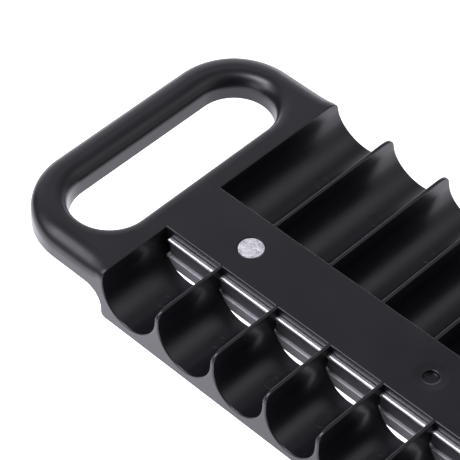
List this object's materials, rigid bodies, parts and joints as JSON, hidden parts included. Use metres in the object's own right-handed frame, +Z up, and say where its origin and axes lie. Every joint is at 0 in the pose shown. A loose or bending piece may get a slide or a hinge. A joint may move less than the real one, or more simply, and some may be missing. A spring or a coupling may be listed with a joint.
{
  "type": "socket rail",
  "caption": "Moulded socket rail with a carrying handle, a row of short and a row of long round-bottomed bays, and a magnet bar riveted under the spine between them.",
  "frame": {"origin": "on the floor below the middle of the rail's box", "axes": "+X along the rail away from the handle, +Y from the short bays to the long bays, +Z up"},
  "size_m": [0.436, 0.164, 0.0277],
  "materials": {
    "black_plastic": "fine satin moulded texture",
    "plated_steel": "bright nickel plate",
    "ferrite": "sintered, ground grey black",
    "aluminium_rivet": "headed, lightly mottled"
  },
  "bodies": {
    "root": {"tray_moulding": "black_plastic", "upper_pole_plate": "plated_steel", "lower_pole_channel": "plated_steel", "magnet_near_01": "ferrite", "magnet_near_02": "ferrite", "magnet_near_03": "ferrite", "magnet_near_04": "ferrite", "magnet_near_05": "ferrite", "magnet_near_06": "ferrite", "magnet_near_07": "ferrite", "magnet_near_08": "ferrite", "magnet_near_09": "ferrite", "magnet_near_10": "ferrite", "magnet_near_11": "ferrite", "magnet_near_12": "ferrite", "magnet_near_13": "ferrite", "magnet_far_01": "ferrite", "magnet_far_02": "ferrite", "magnet_far_03": "ferrite", "magnet_far_04": "ferrite", "magnet_far_05": "ferrite", "magnet_far_06": "ferrite", "magnet_far_07": "ferrite", "magnet_far_08": "ferrite", "magnet_far_09": "ferrite", "magnet_far_10": "ferrite", "magnet_far_11": "ferrite", "magnet_far_12": "ferrite", "magnet_far_13": "ferrite", "rivet_1": "aluminium_rivet", "rivet_2": "aluminium_rivet", "rivet_3": "aluminium_rivet"}
  },
  "joints": []
}
